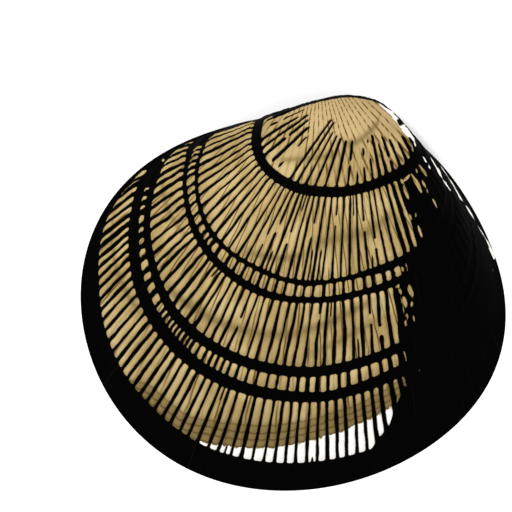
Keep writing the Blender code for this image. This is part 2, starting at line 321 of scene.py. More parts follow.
highlightSpots = (
    (88.2, 0.688, 87.2, 0.66, 0.28), (89, 0.638, 87.5, 0.62, 0.2), (108, 0.56, 104.2, 0.517, 0.75),
    (103.8, 0.505, 102.8, 0.465, 0.95), (103, 0.445, 105, 0.37, 0.45), (132, 0.245, 126, 0.253, 0.8),
    (125.2, 0.245, 121.2, 0.217, 0.95), (119, 0.228, 117, 0.185, 0.85), (116.8, 0.143, 115.8, 0.09, 0.75),
    (112.8, 0.068, 112.5, 0.058, 0.4), (111.2, 0.033, 109.2, 0.02, 0.55),
    (108.5, 0.02, 106.5, 0.01, 0.55), (100.5, 0.055, 99.2, 0.043, 0.4), (80, 0.98, 96, 0.95, 0.22),
    (80, 1.22, 97, 1.2, 0.45),
)
darkSpots = (
    (76, 1.03, 86, 1.06, 0.6), (-126, 0.37, -122, 0.26, 0.25), (89.2, 0.917, 97.8, 0.735, 0.17),
    (81, 0.87, 82.8, 0.795, 0.15),
)
umbo = {
    "rowAges": (1.31, 1.34, 1.37, 1.41, 1.45, 1.5, 1.56, 1.64, 1.72, 1.8, 1.88, 1.96, 2.05, 2.15, 2.25,
                2.35, 2.45, 2.55),
    "mediumFrom": 1.4,
    "coarseFrom": 1.9,
    "columns": (576, 288, 144),
    "apart": 7,                 # degrees
    "toBand": 20,               # mm, as no band is near
}

# Painted shade: the near-black skin colour is also put where the shell turns down steeply, round the beak and
# beside the
# hinge: where the surface's upward part is under this, and low on the hinge side. Both as (angle, value).
steepShade = {
    "upward": (
        (-180, 0.3), (-145, 0.16), (-138, 0.22), (-130, 0.26), (-120, 0.22), (-110, 0.25), (-100, 0.33),
        (-90, 0.36), (-80, 0.32), (-40, 0.31), (0, 0.29), (55, 0.28), (70, 0.3), (80, 0.28), (90, 0.32),
        (97, 0.24), (100, 0.2), (105, 0.16), (110, 0.12), (120, 0.09), (130, 0.1), (140, 0.2), (180, 0.3)),
    "mmPerUpward": 9,
    "lowest": (
        (-180, 4.0), (-150, 2.6), (-138, 1.5), (-128, 0.8), (-118, 0.55), (-106, 0.45), (-96, 0), (96, 0),
        (118, 0.6), (140, 1.5), (180, 4.0)),
}

shell = {key: [] for key in (
    "point", "rib", "lineHalf", "spacing", "toEdge", "age", "pale", "abovePale", "stain", "island", "ray",
    "ring", "scar")}
faces = {"corners": [], "slot": []}


def addRow(points, **values):
    # adds a closed loop of vertices and returns their numbers
    start = sum(len(part) for part in shell["point"])
    shell["point"].append(points)
    for key in shell:
        if key != "point":
            blank = np.zeros((len(points), 3)) if key == "ring" else np.zeros(len(points))
            shell[key].append(np.broadcast_to(values.get(key, blank), blank.shape))
    return np.arange(start, start + len(points))


def addStrip(lower, upper, slot, flip=False):
    # quads between two loops of as many corners
    corners = np.stack([lower, np.roll(lower, -1), np.roll(upper, -1), upper], axis=1)
    faces["corners"] += (corners[:, ::-1] if flip else corners).tolist()
    faces["slot"] += [slot] * len(lower)


def addStitch(lower, lowerAngles, upper, upperAngles, slot, flip=False):
    # triangles between two loops of unlike counts, taking the nearer next corner each time
    low = np.append(lowerAngles, lowerAngles[0] + 360)
    high = np.append(upperAngles, upperAngles[0] + 360)
    i = j = 0
    while i < len(lower) or j < len(upper):
        a, b = lower[i % len(lower)], upper[j % len(upper)]
        if j == len(upper) or (i < len(lower) and low[i + 1] <= high[j + 1]):
            i += 1
            corner = (a, lower[i % len(lower)], b)
        else:
            j += 1
            corner = (a, upper[j % len(upper)], b)
        faces["corners"].append([int(c) for c in (corner[::-1] if flip else corner)])
        faces["slot"].append(slot)


def addBetween(lower, lowerAngles, upper, upperAngles, slot, flip=False):
    if len(lower) == len(upper):
        addStrip(lower, upper, slot, flip)
    else:
        addStitch(lower, lowerAngles, upper, upperAngles, slot, flip)


def addTip(loop, tip, slot, flip=False):
    # triangles from a loop to one corner
    for a, b in zip(loop, np.roll(loop, -1)):
        faces["corners"].append([int(c) for c in ((b, a, tip) if flip else (a, b, tip))])
        faces["slot"].append(slot)


def bandEdges(number, angle):
    at, low, high = np.array(bands["rows"][number]).T
    return np.interp(angle, at, low) - bands["spread"], np.interp(angle, at, high) + bands["spread"]


def zoneEnds(number, angle):
    low = bandEdges(number - 1, angle)[1] if number else fromTable(bands["margin"], angle)
    if number == len(bands["rows"]):
        return low, np.full_like(angle, ribs["oldestEnd"])
    return low, bandEdges(number, angle)[0]


def surfaceLength(angle, lowAge, highAge):
    ends = [domePoint(angle, lineTurn(angle, age)) for age in (lowAge, highAge)]
    return np.linalg.norm(ends[1] - ends[0], axis=-1)


def placeLines(number):
    # The dark lines of a zone, from -180 to 180: the angle where each starts, and the shares of the
    # way up between which it is drawn. Most are whole, and a few are short strokes from one end.
    zone = zones[number]
    if "strokes" in zone:
        return np.array([(angle, -1, 2) for angle in (-180, *(stroke[0] for stroke in zone["strokes"]), 180)])
    around = np.linspace(-180, 180, 3601)
    density = 1 / fromTable(zone["apart"], around)
    counted = np.cumsum(density) - density[0]
    count = round(360 * density.mean())
    angles = np.interp(np.arange(count + 1) / count, counted / counted[-1], around)
    rng = np.random.default_rng(100 + number)
    angles[1:-1] += rng.uniform(-1, 1, count - 1) * zone["jitter"] * fromTable(zone["apart"], angles[1:-1])
    lines = [(angle, -1, 2) for angle in angles]
    for angle, following in zip(angles[:-1], angles[1:]):
        length = rng.uniform(*ribs["shortStroke"])
        fromTop, chosen = rng.uniform() < 0.5, rng.uniform() < zone["short"]
        if chosen and ribs["shortWithin"][0] < angle < ribs["shortWithin"][1]:
            lines.append(((angle + following) / 2, *((1 - length, 2) if fromTop else (-1, length))))
    return np.array(sorted(lines))


zoneLines = [placeLines(number) for number in range(len(zones))]


def columns(number, share):
    # phase, angle and age of each column of a zone at a share of the way up it, and degrees a rib
    zone, lines = zones[number], zoneLines[number][:, 0]
    count = len(lines) - 1
    phase = np.arange(count * zone["perRib"]) / zone["perRib"]
    start = np.interp(phase, np.arange(count + 1), lines)
    apart = np.interp(phase, np.arange(count) + 0.5, np.diff(lines))
    low, high = zoneEnds(number, start)
    if "strokes" in zone:
        leans = [0] + [stroke[1] for stroke in zone["strokes"]] + [0]
        fromStart = low + (high - low) * share - zone["strokeAge"]
        angle = start + np.interp(phase, np.arange(count + 1), leans) * fromStart
    else:
        angle = start + fromTable(zone["lean"], start) * (high - low) * share
    wave = softNoise(phase * 0.9, share * 2.2 + number * 7, 200 + number)
    wave = wave + 0.6 * softNoise(phase * 1.4, share * 6, 250 + number)
    angle = angle + wave * zone["waver"] * apart * (1 - smooth(np.abs(angle), 120, 160))
    low, high = zoneEnds(number, angle)
    return phase, angle, low + (high - low) * share, apart


def strokeShape(zone, line, age):
    # each line's width at an age, and how much of it is drawn there, from 0 to 1: the ends are blunt
    wide, drawn = np.full(len(line), 2.0), np.zeros(len(line))
    for column, nearest in enumerate(line):
        if not nearest:
            continue
        first, last, *spans = zone["strokes"][nearest - 1][2:]
        if spans:
            along = (age[column] - zone["strokeAge"]) / (spans[-1] - zone["strokeAge"])
            wide[column] = first + (last - first) * np.clip(along, 0, 1)
        for start, end in zip(spans[::2], spans[1::2]):
            rise = smooth(age[column], start - 0.006, start + 0.01)
            fall = 1 - smooth(age[column], max(end - zone["taper"], (start + end) / 2), end)
            drawn[column] = max(drawn[column], rise * fall ** 0.5)
    return wide, drawn


def gapShare(rng, count, chosen, share, length):
    # how much of each line is drawn at this share of its length, when some of them have a gap
    broken = rng.uniform(size=count) < chosen
    gap, half = rng.uniform(0.2, 0.8, count), rng.uniform(0.5, 1, count) * length
    return np.where(broken, smooth(np.abs(share - gap), half, half + 0.03), 1)


def lineWidths(number, phase, angle, age, share, apart):
    # half of the nearest line's width, as a share of the distance between lines
    zone, count, gone = zones[number], len(zoneLines[number]) - 1, ribs["gone"]
    rng = np.random.default_rng(300 + number)
    line = np.floor(phase + 0.5).astype(int) % count
    ownWidth = 1 + ribs["uneven"] * rng.uniform(-1, 1, count)
    if "strokes" in zone:
        wide, drawn = strokeShape(zone, line, age)
    else:
        wide = fromTable(zone["wide"], angle)
    first, last = zoneLines[number][line, 1:].T
    wide = np.where(last - first < 3, wide * ribs["shortWidth"], wide)
    half = wide / 2 / apart * (1 + ribs["wavy"] * softNoise(line * 5.3, share * 6, 400 + number))
    if "strokes" in zone:
        half = gone * (1 - smooth(drawn, 0, 0.12)) + half * drawn
    else:
        half = half * ownWidth[line]
        drawn = smooth(share, first - 0.02, first + 0.03) * (1 - smooth(share, last - 0.08, last))
        half = gone + (half - gone) * drawn ** 0.5
    if "flare" in zone:
        half = half * (1 + zone["flare"] * smooth(share, 0.6, 1))
    if "broken" in zone:
        drawn = gapShare(rng, count, zone["broken"], share, ribs["gapLength"])[line]
        drawn = np.where(np.abs(angle) < zone["brokenWithin"], drawn, 1)
        half = gone + (half - gone) * drawn
    # past the flank angle the lines widen until they meet, with a ragged border: painted shade over the +X
    # flank
    closing = (angle - fromTable(shadedFlank["angles"], age)) / shadedFlank["closesOver"] + 1
    ragged = softNoise(line * 3.7, age * 26, 500) + 0.8 * softNoise(line * 1.9, age * 70, 501)
    shut = np.maximum(half, 0.15)
    half = np.where(closing > 0, shut + (0.5 - shut) * smooth(closing, 0, 1), half)
    half = half + shadedFlank["ragged"] * ragged * bump(closing, 0.8, 0.45)
    half = np.where(closing > 1.35, ribs["covered"], half)
    half = half + (ribs["covered"] - half) * (1 - smooth(angle, zone["leftEnd"] - 3, zone["leftEnd"]))
    return np.clip(half, gone, ribs["covered"])


# Where the newest shell is chalky white, up to this age, with an olive stain above it. The shoulder
# by the beak is pale past an angle, as (age, angle).
paleTip = {
    "top": (
        (-34, 0.04), (-27, 0.05), (-20, 0.059), (-10, 0.067), (0, 0.077), (10, 0.088), (20, 0.096),
        (25, 0.102), (30, 0.105), (36, 0.112), (44, 0.12)),
    "from": -34,
    "to": 50,
    "olivePerAge": 90,
    "shoulder": (
        (0.78, 78.5), (0.9, 77), (0.95, 75.5), (1.0, 74), (1.1, 71.5), (1.2, 67.5), (1.3, 64), (1.4, 60.5),
        (1.5, 58.5)),
}


def paleShare(angle, age):
    # above 0 where the shell is pale: the tips of the newest ribs, and the shoulder by the beak
    tips = np.clip((fromTable(paleTip["top"], angle) - age) / 0.003, -1, 1)
    tips = np.where((angle > paleTip["from"]) & (angle < paleTip["to"]), tips, -1)
    shoulder = np.minimum((angle - fromTable(paleTip["shoulder"], age)) / 3, (age - 0.75) / 0.02)
    shoulder = np.clip(np.minimum(shoulder, (1.52 - age) / 0.05), -1, 1)
    return np.maximum(tips, np.where(angle < 128, shoulder, -1))


# Old worn growth bands, brushed as soft olive-brown stains: (angle, age) along each, width, strength.
stains = (
    (((-108, 0.08), (-85, 0.117), (-62, 0.155)), 0.006, 0.75),
    (((-110, 0.27), (-90, 0.305), (-68, 0.355)), 0.008, 0.75),
    (((-66, 0.235), (-45, 0.262), (-10, 0.29), (15, 0.335), (30, 0.36)), 0.012, 0.85),
    (((0, 0.25), (20, 0.29), (35, 0.31)), 0.008, 0.75),
    (((-115, 0.555), (-104, 0.6), (-95, 0.66)), 0.012, 0.7),
    (((-42, 0.45), (-20, 0.475), (-5, 0.51)), 0.012, 0.75),
    (((-8, 0.535), (10, 0.555), (28, 0.56), (45, 0.6)), 0.022, 0.8),
    (((-50, 0.8), (-35, 0.85), (-20, 0.885), (0, 0.93)), 0.02, 0.75),
    (((0, 0.99), (10, 1.000), (20, 1.03), (30, 1.085), (40, 1.13), (48, 1.24)), 0.035, 0.85),
)


def oldStains(angle, age):
    value = np.zeros_like(angle)
    for points, width, strength in stains:
        first, last = points[0][0], points[-1][0]
        ends = smooth(angle, first - 3, first + 8) * (1 - smooth(angle, last - 8, last + 3))
        value = np.maximum(value, strength * ends * bump(age, fromTable(points, angle), width))
    return value


def spotReach(points, startAngle, startAge, endAngle, endAge, half):
    # how far inside an oblong spot each point is, in mm
    angles, ages = np.array([startAngle, endAngle]), np.array([startAge, endAge])
    start, end = domePoint(angles, lineTurn(angles, ages))
    way = end - start
    along = np.clip((points - start) @ way / (way @ way), 0, 1)
    reach = half * (1 - 0.55 * (2 * along - 1) ** 2)
    return reach - np.linalg.norm(points - start - along[:, None] * way, axis=1)


def spotFields(points):
    # how far inside a worn spot or a painted highlight each point is, above 0 if that one is a painted
    # highlight, and how far off a dark spot
    field, pale, offDark = np.full(len(points), -1.0), np.full(len(points), -1.0), np.full(len(points), 9.0)
    for spots, paleness in ((wornSpots, -1.0), (highlightSpots, 1.0)):
        for spot in spots:
            within = spotReach(points, *spot)
            pale = np.where((within > field) & (within > -0.5), paleness, pale)
            field = np.maximum(field, within)
    for spot in darkSpots:
        offDark = np.minimum(offDark, -spotReach(points, *spot))
    return field, pale, offDark


# Faint brown rays spread from a point beside the beak, in mm from the tip of the beak.
rayMiddle = (-7.4, 7.3)


def outsideRow(angle, age, phase, lineHalf, toEdge, apart):
    turn = lineTurn(angle, age)
    none = ribs["span"] - ribs["spanLoss"] * turn
    fade = 1 - smooth(np.abs(angle), none - ribs["fade"], none)
    inZone = smooth(toEdge, 0, bands["slope"])
    nearest = np.abs(phase - np.floor(phase + 0.5))
    groove = np.maximum(lineHalf, 0) * 0.5
    crest = 2 * smooth(nearest, groove, groove + ribs["rise"]) - 1
    crest = crest * np.where(lineHalf > 0.45, 0.5, smooth(lineHalf, 0, 0.08))
    wave = sum(high * softNoise(angle * round, age * up, 600 + number)
               for number, (high, round, up) in enumerate(ribs["ripples"]))
    raised = ribs["height"] / 2 * crest * fade * inZone - bands["sunk"] * (1 - inZone) + wave * inZone
    raised = raised * smooth(turn, 0, 0.02)     # the rim stays where the flat edge meets it
    dome, normals = domePoint(angle, turn), domeNormal(angle, turn)
    points = dome + normals * raised[:, None]
    # painted shade where the shell turns down steeply and low beside the hinge, carried in toEdge with the
    # band edges and dark spots
    steep = (normals[:, 2] - fromTable(steepShade["upward"], angle)) * steepShade["mmPerUpward"]
    lowest = points[:, 2] - fromTable(steepShade["lowest"], angle)
    island, spotHighlight, offDark = spotFields(dome)
    rayX, rayY = points[:, 0] - rayMiddle[0], points[:, 1] - rayMiddle[1]
    abovePale = (age - fromTable(paleTip["top"], angle)) * paleTip["olivePerAge"]
    return addRow(
        points, rib=phase, lineHalf=lineHalf, spacing=mmPerDegree(angle, turn) * apart,
        toEdge=np.min([toEdge, steep, lowest, offDark], axis=0), age=age, stain=oldStains(angle, age),
        # pale: the chalky tips and shoulder, and the painted highlight spots
        pale=np.maximum(paleShare(angle, age), spotHighlight),
        abovePale=abovePale + 12 * (1 - smooth(angle, -78, -46)), island=island,
        ray=np.degrees(np.arctan2(rayX, -rayY)), ring=ringPoint(angle, age))


# the numbers of the three materials
outside, edge, inside = 0, 1, 2


def bandRow(number, share, under):
    # a row inside the dark band under a zone, or over it, with the zone's own columns
    phase, angle, _, apart = columns(number, 0 if under else 1)
    if under and not number:
        low, high = np.zeros_like(angle), zoneEnds(0, angle)[0]
    else:
        low, high = bandEdges(number - under, angle)
    age = low + (high - low) * share
    toEdge = -surfaceLength(angle, *((age, high) if under else (low, age)))
    return outsideRow(angle, age, phase, np.full_like(angle, 0.3), toEdge, apart), angle


def zoneRow(number, share):
    phase, angle, age, apart = columns(number, share)
    low, high = zoneEnds(number, angle)
    toNearest = share if number == len(zones) - 1 else min(share, 1 - share)
    half = lineWidths(number, phase, angle, age, share, apart)
    return outsideRow(angle, age, phase, half, surfaceLength(angle, low, high) * toNearest, apart), angle


def umboRow(age):
    count = umbo["columns"][(age > umbo["mediumFrom"]) + (age > umbo["coarseFrom"])]
    angle = np.arange(count) * 360 / count - 180
    # near-black past the flank angle: painted shade
    half = np.where(angle > fromTable(shadedFlank["angles"], age), ribs["covered"], ribs["gone"])
    ages, toEdge = np.full_like(angle, age), np.full_like(angle, umbo["toBand"])
    return outsideRow(angle, ages, 0 * angle, half, toEdge, umbo["apart"]), angle


def buildOutside():
    rows = [bandRow(0, share, True) for share in bands["marginRows"]]      # each (numbers, angles)
    for number, zone in enumerate(zones):
        if number:
            rows.append(bandRow(number, bands["rowUnder"], True))
        steps = np.linspace(0, 1, zone["rows"])
        rows += [zoneRow(number, share) for share in steps - 0.06 * np.sin(2 * np.pi * steps)]
        if number < len(bands["rows"]):
            rows.append(bandRow(number, bands["rowOver"], False))
    rows += [umboRow(age) for age in (*umbo["rowAges"], growth["beakTurn"])]
    for (lower, lowAngles), (upper, highAngles) in zip(rows, rows[1:]):
        addBetween(lower, lowAngles, upper, highAngles, outside)
    middle = shell["point"][-1].mean(axis=0)[None]
    tip = addRow(middle, age=growth["beakTurn"], lineHalf=ribs["covered"], pale=-1, island=-1)[0]
    addTip(rows[-1][0], tip, outside)
    return rows[0]


# The flat edge, the hinge plate with its sockets, and the bowl inside. Lengths are in mm.
hollow = {
    "edgeWidth": 2.5,
    "plateWidth": 7.2,
    "plateStart": 105,
    "plateFull": 162,
    "depth": 16.3,
    "lean": (5, 13),
    "notches": 48,
    "notchDepth": 0.5,
    "edgeRows": 14,
    "socketsEachSide": 8,
    "socketFirst": 8,
    "socketLast": 42,
    "socketSize": (4.2, 1.05, 0.9),
    "socketShrink": 0.35,
    "socketAim": 17,
    "scars": ((118, 0.70, 5.2, 6.4), (-121, 0.72, 6.0, 7.2)),     # angle, share, half width, half length
    "scarDepth": 0.18,
    "pallialShare": 0.80,
    "pallialWidth": 0.02,       # a share too
    "pallialDepth": 0.10,
    "pallialEnds": (100, 116),
    "rowShares": (0.985, 0.96, 0.93, *np.linspace(0.9, 0.06, 34)),
    "fineFrom": 0.92,           # rows past this share have the rim's own columns, and others fewer
    "mediumFrom": 0.3,
    "columns": (216, 72),
}


def reachInside(angle):
    plate = smooth(np.abs(angle), hollow["plateStart"], hollow["plateFull"])
    return rimReach(angle) - hollow["edgeWidth"] - (hollow["plateWidth"] - hollow["edgeWidth"]) * plate


def notches(angle):
    side = 1 - smooth(np.abs(angle), hollow["plateStart"], hollow["plateFull"])
    wave = 0.5 - 0.5 * np.cos(np.radians(angle) * hollow["notches"])
    return hollow["notchDepth"] * side * smooth(wave, 0.1, 0.9)


def bowlPoint(angle, share):
    middleX, middleY = growth["rimMiddle"]
    leanX, leanY = hollow["lean"]
    ring = reachInside(angle) * share + notches(angle) * smooth(share, 0.9, 1)
    x = middleX + ring * np.sin(np.radians(angle)) + leanX * (1 - share)
    y = middleY - ring * np.cos(np.radians(angle)) + leanY * (1 - share)
    return np.stack([x, y, hollow["depth"] * (1 - share ** 2) + 0 * x], axis=-1)


def socketDepth(points):
    # how far the hinge plate is sunk at these points: bars that aim at a place below the beak
    length, width, depth = hollow["socketSize"]
    aim = np.array([growth["rimMiddle"][0], -hollow["socketAim"]])
    sunk = np.zeros(len(points))
    for side in (-1, 1):
        for share in np.linspace(0, 1, hollow["socketsEachSide"]):
            fromHinge = hollow["socketFirst"] + (hollow["socketLast"] - hollow["socketFirst"]) * share
            angle = np.array(side * (180 - fromHinge))
            middle = (domePoint(angle, 0)[:2] + bowlPoint(angle, 1)[:2]) / 2
            away = (middle - aim) / np.linalg.norm(middle - aim)
            offset = points[:, :2] - middle
            along, across = offset @ away, offset @ np.array([-away[1], away[0]])
            half = length * (1 - hollow["socketShrink"] * share) / 2
            inLength = 1 - smooth(np.abs(along), half - 0.45, half + 0.1)
            inWidth = 1 - smooth(np.abs(across), width * 0.18, width * 0.62)
            sunk = np.maximum(sunk, depth * inLength * inWidth)
    return sunk


def scarField(points):
    value = np.zeros(len(points))
    for scarAngle, scarShare, halfWidth, halfLength in hollow["scars"]:
        middle = bowlPoint(np.array(float(scarAngle)), scarShare)[:2]
        offset = points[:, :2] - middle
        out = np.array([np.sin(np.radians(scarAngle)), -np.cos(np.radians(scarAngle))])
        along, across = offset @ out, offset @ np.array([-out[1], out[0]])
        far = np.sqrt((along / halfWidth) ** 2 + (across / halfLength) ** 2)
        far = far + 0.05 * np.sin(across * 1.3 + along)
        value = np.maximum(value, 1 - smooth(far, 0.9, 1.05))
    return value


def buildInside(rim):
    lower, angle = rim
    outer, inner = domePoint(angle, 0 * angle), bowlPoint(angle, 1)
    for share in np.linspace(0.04, 1, hollow["edgeRows"]):
        points = outer + (inner - outer) * share
        points[:, 2] = socketDepth(points)
        upper = addRow(points, ring=ringPoint(angle, 3 - share))
        addStrip(lower, upper, edge, flip=True)
        lower = upper
    lowAngles = angle
    medium, coarse = hollow["columns"]
    for share in hollow["rowShares"]:
        fewer = medium if share > hollow["mediumFrom"] else coarse
        count = len(angle) if share > hollow["fineFrom"] else fewer
        angles = lowAngles if count == len(lowAngles) else np.arange(count) * 360 / count - 180
        points = bowlPoint(angles, share)
        scars = scarField(points)
        step = bump(share, hollow["pallialShare"], hollow["pallialWidth"])
        step = step * (1 - smooth(np.abs(angles), *hollow["pallialEnds"]))
        points[:, 2] += hollow["scarDepth"] * scars + hollow["pallialDepth"] * step
        upper = addRow(points, ring=ringPoint(angles, share), scar=scars)
        addBetween(lower, lowAngles, upper, angles, inside, flip=True)
        lower, lowAngles = upper, angles
    tip = addRow(bowlPoint(np.zeros(1), 0.0))[0]
    addTip(lower, tip, inside, flip=True)


def buildShell():
    buildInside(buildOutside())
    points = np.concatenate(shell["point"])
    low, high = (np.array(corner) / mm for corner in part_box("valve"))
    middle = (points.min(axis=0) + points.max(axis=0)) / 2
    points = points + [(low[0] + high[0]) / 2 - middle[0], (low[1] + high[1]) / 2 - middle[1], 0]
    data = bpy.data.meshes.new("ribbed-valve")
    data.from_pydata((points * mm).tolist(), [], faces["corners"])
    data.polygons.foreach_set("material_index", faces["slot"])
    for key in shell:
        if key == "ring":
            layer = data.attributes.new(key, "FLOAT_VECTOR", "POINT")
            layer.data.foreach_set("vector", np.concatenate(shell[key]).astype(np.float32).ravel())
        elif key != "point":
            layer = data.attributes.new(key, "FLOAT", "POINT")
            layer.data.foreach_set("value", np.concatenate(shell[key]).astype(np.float32))
    data.shade_smooth()
    data.set_sharp_from_angle(angle=np.radians(60))
    data.validate()
    piece = bpy.data.objects.new("ribbed-valve", data)
    bpy.context.scene.collection.objects.link(piece)
    triangles = sum(len(corners) - 2 for corners in faces["corners"])
    print("shell built:", len(data.vertices), "vertices,", triangles, "triangles")
    return piece


# Node helpers. Most work in the node tree of the sockets that they are given.
def addNode(tree, kind, **settings):
    made = tree.nodes.new(kind)
    for key, value in settings.items():
        setattr(made, key, value)
    return made


def feed(source, target):
    if isinstance(source, bpy.types.NodeSocket):
        target.id_data.links.new(source, target)
    else:
        target.default_value = source


def feedAll(made, given):
    for name, source in given.items():
        feed(source, made.inputs[name])
    return made.outputs


def calc(operation, *values):
    tree = next(value.id_data for value in values if isinstance(value, bpy.types.NodeSocket))
    made = addNode(tree, "ShaderNodeMath", operation=operation)
    for value, target in zip(values, made.inputs):
        feed(value, target)
    return made.outputs[0]


def between(value, low, high, start=0.0, end=1.0):
    made = addNode(value.id_data, "ShaderNodeMapRange", interpolation_type="SMOOTHSTEP")
    given = {"Value": value, "From Min": low, "From Max": high, "To Min": start, "To Max": end}
    return feedAll(made, given)["Result"]


def noise(vector, scale, detail=2.0, roughness=0.5):
    made = addNode(vector.id_data, "ShaderNodeTexNoise")
    given = {"Vector": vector, "Scale": scale, "Detail": detail, "Roughness": roughness}
    return feedAll(made, given)[0]


def stretched(vector, factors):
    made = addNode(vector.id_data, "ShaderNodeVectorMath", operation="MULTIPLY")
    feed(vector, made.inputs[0])
    feed(factors, made.inputs[1])
    return made.outputs[0]


def thinLines(value, half, soft):
    # 1 along lines where the value is a whole number and a half
    phase = calc("FRACT", value)
    off = calc("ABSOLUTE", calc("SUBTRACT", phase, 0.5))
    return between(off, half, half + soft, 1.0, 0.0)


def blend(share, first, second):
    made = addNode(share.id_data, "ShaderNodeMix", data_type="RGBA")
    for source, number in ((share, 0), (first, 6), (second, 7)):
        feed(source, made.inputs[number])
    return made.outputs[2]


def named(tree, name, output="Fac"):
    return addNode(tree, "ShaderNodeAttribute", attribute_name=name).outputs[output]


def newGroup(name, inputs, outputs):
    # an input without a value is a vector, and everything else is a number
    tree = bpy.data.node_groups.new(name, "ShaderNodeTree")
    for socket, value in inputs.items():
        kind = "NodeSocketVector" if value is None else "NodeSocketFloat"
        made = tree.interface.new_socket(socket, in_out="INPUT", socket_type=kind)
        if value is not None:
            made.default_value = value
    for socket in outputs:
        tree.interface.new_socket(socket, in_out="OUTPUT", socket_type="NodeSocketFloat")
    return tree, addNode(tree, "NodeGroupInput").outputs, addNode(tree, "NodeGroupOutput").inputs


def place(tree, group, given):
    return feedAll(addNode(tree, "ShaderNodeGroup", node_tree=group), given)


def newMaterial(name):
    made = bpy.data.materials.new(name)
    made.use_nodes = True
    return made, made.node_tree, made.node_tree.nodes["Principled BSDF"]


def addBump(shader, height, look):
    bumped = addNode(shader.id_data, "ShaderNodeBump")
    bumped.inputs["Strength"].default_value = look["bumpStrength"]
    bumped.inputs["Distance"].default_value = look["bumpHeight"] * mm
    feed(height, bumped.inputs["Height"])
    feed(bumped.outputs[0], shader.inputs["Normal"])


def colour(red, green, blue):
    # a colour given as sRGB, 0 to 255, as the shader wants it
    share = np.array([red, green, blue]) / 255
    linear = np.where(share < 0.04045, share / 12.92, ((share + 0.055) / 1.055) ** 2.4)
    return (*linear.tolist(), 1)


def makeGrowthLines():
    # fine rings of growth, which both faces of the shell have
    tree, given, out = newGroup(
        "fine growth lines", {"Ring": None, "Rings": 200.0, "Waver": 2.0}, ("Height",))
    factors = addNode(tree, "ShaderNodeCombineXYZ")
    for name, number in (("Waver", 0), ("Waver", 1), ("Rings", 2)):
        feed(given[name], factors.inputs[number])
    rings = stretched(given["Ring"], factors.outputs[0])
    feed(noise(rings, 1.0, 3.0, 0.6), out["Height"])
    return tree


def makeSkinAndShadeEdge():
    # how far a point is inside a worn patch, in mm: between two dark lines and two dark bands. The second
    # output is near-black outside the patches, which is dark skin and, over the +X flank and the steep sides,
    # painted shade
    tree, given, out = newGroup(
        "skin edge",
        {"Rib": 0.0, "Line Half": 0.2, "Spacing": 1.0, "To Edge": 1.0, "Island": -1.0, "Corner": 0.36,
         "Rag": 0.07},
        ("Inside", "Skin"))
    spot = addNode(tree, "ShaderNodeTexCoord").outputs["Object"]
    rag = calc("MULTIPLY_ADD", noise(spot, 900.0, 2.0), 2.0, -1.0)
    rag = calc("MULTIPLY", rag, given["Rag"])
    phase = calc("FRACT", calc("ADD", given["Rib"], 0.5))
    offCentre = calc("ABSOLUTE", calc("SUBTRACT", phase, 0.5))
    toLine = calc("MULTIPLY", calc("SUBTRACT", offCentre, given["Line Half"]), given["Spacing"])
    toLine = calc("ADD", toLine, rag)
    toBand = calc("ADD", given["To Edge"], rag)
    lack = [calc("MAXIMUM", calc("SUBTRACT", given["Corner"], way), 0.0)
            for way in (toLine, toBand)]
    both = calc("SQRT", calc("ADD", *[calc("MULTIPLY", part, part) for part in lack]))
    within = calc("SUBTRACT", given["Corner"], both)
    ragged = calc("MULTIPLY_ADD", rag, 2.0, given["Island"])
    within = calc("MAXIMUM", within, ragged)
    feed(within, out["Inside"])
    feed(between(within, -0.05, 0.05, 1.0, 0.0), out["Skin"])
    return tree


outsideFinish = {
    "skin": colour(2, 2, 2),
    "skinThin": colour(44, 32, 16),
    "tan": colour(177, 154, 103),
    "tanLight": colour(191, 171, 124),
    "tanDark": colour(154, 131, 82),
    "peach": colour(186, 160, 114),
    "ray": colour(94, 70, 30),
    "olive": colour(118, 99, 58),
    "oliveLine": colour(78, 60, 28),
    "pale": colour(252, 249, 242),
    "rayApart": 3.8,            # degrees, near the beak
    "rayApartFar": 2.3,
    "tanRoughness": 0.62,
    "skinRoughness": 0.7,
    "specular": 0.01,
    "bumpStrength": 0.6,
    "bumpHeight": 0.06,         # mm
}


